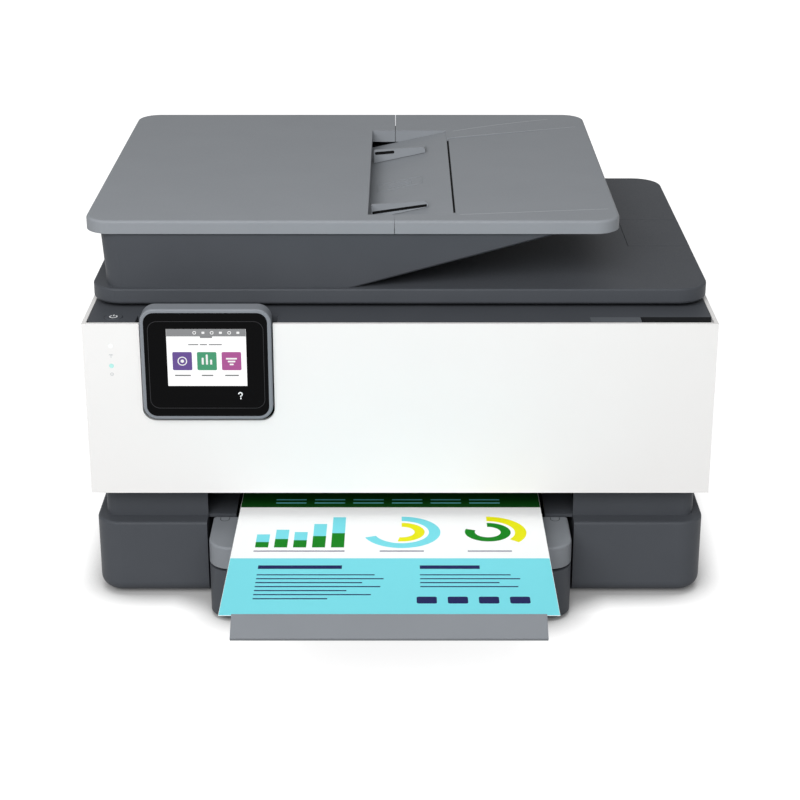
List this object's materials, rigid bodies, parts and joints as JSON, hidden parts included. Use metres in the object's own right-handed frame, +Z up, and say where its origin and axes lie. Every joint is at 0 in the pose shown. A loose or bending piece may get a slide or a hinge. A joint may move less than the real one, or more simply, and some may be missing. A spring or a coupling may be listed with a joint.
{
  "type": "inkjet printer",
  "caption": "Desktop inkjet all-in-one with a flatbed scanner, a document feeder on its lid, a tilting control panel, a paper cassette and a sliding output tray",
  "frame": {"origin": "middle of the footprint on the table", "axes": "X to the printer's right seen from the front, Y from the front to the back, Z up"},
  "size_m": [0.439, 0.5224, 0.278],
  "materials": {
    "charcoal_plastic": "fine moulded texture",
    "feeder_grey_plastic": "fine moulded texture",
    "white_plastic": "satin",
    "light_grey_plastic": "satin",
    "black_plastic": "plain moulded",
    "panel_glass": "polished",
    "platen_glass": "polished",
    "display_panel": "lit screen",
    "light_lens": "clear lens",
    "rubber": "matt",
    "sheet_steel": "plated",
    "bright_steel": "ground",
    "motor_steel": "zinc plated",
    "gear_plastic": "natural",
    "belt_rubber": "toothed belt",
    "foam": "white foam",
    "board": "laminate",
    "ink_black": "moulded",
    "ink_cyan": "moulded",
    "ink_magenta": "moulded",
    "ink_yellow": "moulded",
    "paper": "printed sheet"
  },
  "bodies": {
    "base": {"lower_case": "charcoal_plastic", "rubber_feet": "rubber", "upper_case": "charcoal_plastic", "side_cover_left": "white_plastic", "side_cover_right": "white_plastic", "panel_bracket": "black_plastic", "scanner_base": "charcoal_plastic", "scanner_top": "charcoal_plastic", "platen_glass": "platen_glass", "print_chassis": "sheet_steel", "carriage_rod": "bright_steel", "drive_belt": "belt_rubber", "carriage_motor": "motor_steel", "feed_motor": "motor_steel", "platen": "black_plastic", "service_station": "black_plastic", "power_inlet": "black_plastic", "usb_port": "bright_steel", "network_port": "bright_steel", "main_board": "board", "power_supply": "motor_steel"},
    "door": {"front_door": "white_plastic", "status_lights": "light_lens"},
    "panel": {"panel_housing": "light_grey_plastic", "panel_glass": "panel_glass", "display": "display_panel"},
    "button": {"power_button": "charcoal_plastic"},
    "lid": {"scan_lid": "charcoal_plastic", "lid_pad": "foam", "feeder_base": "charcoal_plastic", "feeder_tray": "feeder_grey_plastic"},
    "stop": {"paper_stop": "charcoal_plastic"},
    "feeder_lid": {"feeder_cover": "feeder_grey_plastic"},
    "guide_front": {"feeder_guide_front": "feeder_grey_plastic"},
    "guide_rear": {"feeder_guide_rear": "feeder_grey_plastic"},
    "document_pick": {"feeder_pick_roller": "rubber"},
    "document_turn": {"feeder_turn_roller": "rubber"},
    "drawer": {"cassette": "charcoal_plastic", "output_tray": "light_grey_plastic"},
    "paper_left": {"side_guide_left": "black_plastic"},
    "paper_right": {"side_guide_right": "black_plastic"},
    "paper_end": {"end_guide": "black_plastic"},
    "extender": {"output_extender": "feeder_grey_plastic", "printed_sheet": "paper"},
    "head": {"carriage": "black_plastic", "cartridge_black": "ink_black", "cartridge_cyan": "ink_cyan", "cartridge_magenta": "ink_magenta", "cartridge_yellow": "ink_yellow"},
    "belt_drive": {"drive_pulley": "gear_plastic"},
    "belt_idler": {"idler_pulley": "gear_plastic"},
    "feed": {"feed_roller": "bright_steel"},
    "exit": {"exit_roller": "bright_steel"},
    "feed_idler": {"idler_gear": "gear_plastic"},
    "feed_pinion": {"motor_pinion": "gear_plastic"},
    "arm": {"pick_arm": "black_plastic"},
    "pick": {"pick_roller": "rubber"},
    "scan": {"scan_bar": "black_plastic"},
    "rear": {"rear_cover": "charcoal_plastic"}
  },
  "joints": [
    {"name": "door_hinge", "type": "hinge", "parent": "base", "child": "door", "pos_m": [0, -0.07325, 0.0896], "axis": [1, 0, 0], "range_deg": [0, 90]},
    {"name": "panel_tilt", "type": "hinge", "parent": "base", "child": "panel", "pos_m": [-0.13375, -0.07485, 0.2084], "axis": [-1, 0, 0], "range_deg": [0, 45]},
    {"name": "power_press", "type": "slide", "parent": "base", "child": "button", "axis": [0, 0, -1], "range_m": [0, 0.0012], "stiffness_N_per_m": 350, "springref_m": -0.001},
    {"name": "lid_hinge", "type": "hinge", "parent": "base", "child": "lid", "pos_m": [0, 0.24715, 0.2195], "axis": [-1, 0, 0], "range_deg": [0, 75]},
    {"name": "stop_flip", "type": "hinge", "parent": "lid", "child": "stop", "pos_m": [0.2156, 0.0849, 0.226], "axis": [0, 1, 0], "range_deg": [0, 90]},
    {"name": "feeder_cover_hinge", "type": "hinge", "parent": "lid", "child": "feeder_lid", "pos_m": [-0.1995, 0.10315, 0.265], "axis": [0, -1, 0], "range_deg": [0, 55]},
    {"name": "guide_rear_slide", "type": "slide", "parent": "lid", "child": "guide_rear", "axis": [0, 1, 0], "range_m": [-0.045, 0.033]},
    {"name": "guide_front_slide", "type": "slide", "parent": "lid", "child": "guide_front", "axis": [0, 1, 0], "range_m": [-0.033, 0.045]},
    {"name": "document_turn_spin", "type": "hinge", "parent": "lid", "child": "document_turn", "pos_m": [-0.15, 0.10315, 0.247], "axis": [0, 1, 0], "continuous": true},
    {"name": "document_pick_spin", "type": "hinge", "parent": "lid", "child": "document_pick", "pos_m": [-0.048, 0.07415, 0.26599], "axis": [0, 1, 0], "continuous": true},
    {"name": "cassette_slide", "type": "slide", "parent": "base", "child": "drawer", "axis": [0, -1, 0], "range_m": [0, 0.22]},
    {"name": "paper_left_slide", "type": "slide", "parent": "drawer", "child": "paper_left", "axis": [1, 0, 0], "range_m": [0, 0.055]},
    {"name": "paper_right_slide", "type": "slide", "parent": "drawer", "child": "paper_right", "axis": [1, 0, 0], "range_m": [-0.055, 0]},
    {"name": "paper_end_slide", "type": "slide", "parent": "drawer", "child": "paper_end", "axis": [0, 1, 0], "range_m": [0, 0.12]},
    {"name": "extender_slide", "type": "slide", "parent": "drawer", "child": "extender", "axis": [0, 0.9988, -0.0494], "range_m": [0, 0.128]},
    {"name": "carriage_slide", "type": "slide", "parent": "base", "child": "head", "axis": [-1, 0, 0], "range_m": [0, 0.21]},
    {"name": "belt_drive_spin", "type": "hinge", "parent": "base", "child": "belt_drive", "pos_m": [-0.173, 0.14115, 0.12], "axis": [0, 0, 1], "continuous": true},
    {"name": "belt_idler_spin", "type": "hinge", "parent": "base", "child": "belt_idler", "pos_m": [0.1825, 0.14115, 0.12], "axis": [0, 0, 1], "continuous": true},
    {"name": "feed_spin", "type": "hinge", "parent": "base", "child": "feed", "pos_m": [0, 0.13115, 0.08], "axis": [1, 0, 0], "continuous": true},
    {"name": "exit_spin", "type": "hinge", "parent": "base", "child": "exit", "pos_m": [0, 0.04515, 0.08], "axis": [1, 0, 0], "continuous": true},
    {"name": "feed_idler_spin", "type": "hinge", "parent": "base", "child": "feed_idler", "pos_m": [-0.19, 0.08815, 0.08], "axis": [1, 0, 0], "continuous": true},
    {"name": "feed_pinion_spin", "type": "hinge", "parent": "base", "child": "feed_pinion", "pos_m": [-0.19, 0.0903, 0.11694], "axis": [1, 0, 0], "continuous": true},
    {"name": "pick_arm_swing", "type": "hinge", "parent": "base", "child": "arm", "pos_m": [-0.0068, 0.22415, 0.05], "axis": [-1, 0, 0], "range_deg": [-33, 0]},
    {"name": "pick_spin", "type": "hinge", "parent": "arm", "child": "pick", "pos_m": [-0.0068, 0.17715, 0.046], "axis": [1, 0, 0], "continuous": true},
    {"name": "scan_slide", "type": "slide", "parent": "base", "child": "scan", "axis": [1, 0, 0], "range_m": [0, 0.3]},
    {"name": "rear_cover_hinge", "type": "hinge", "parent": "base", "child": "rear", "pos_m": [-0.0068, 0.25935, 0.0678], "axis": [-1, 0, 0], "range_deg": [0, 90]}
  ],
  "couplings": [
    {"joint": "guide_front_slide", "follows": "guide_rear_slide", "ratio": -1},
    {"joint": "paper_right_slide", "follows": "paper_left_slide", "ratio": -1},
    {"joint": "document_pick_spin", "follows": "document_turn_spin", "ratio": -1.8571},
    {"joint": "belt_drive_spin", "follows": "carriage_slide", "rad_per_m": -142.86},
    {"joint": "belt_idler_spin", "follows": "carriage_slide", "rad_per_m": -142.86},
    {"joint": "exit_spin", "follows": "feed_spin", "ratio": 1},
    {"joint": "feed_idler_spin", "follows": "feed_spin", "ratio": -0.59259},
    {"joint": "feed_pinion_spin", "follows": "feed_spin", "ratio": 1.6}
  ]
}
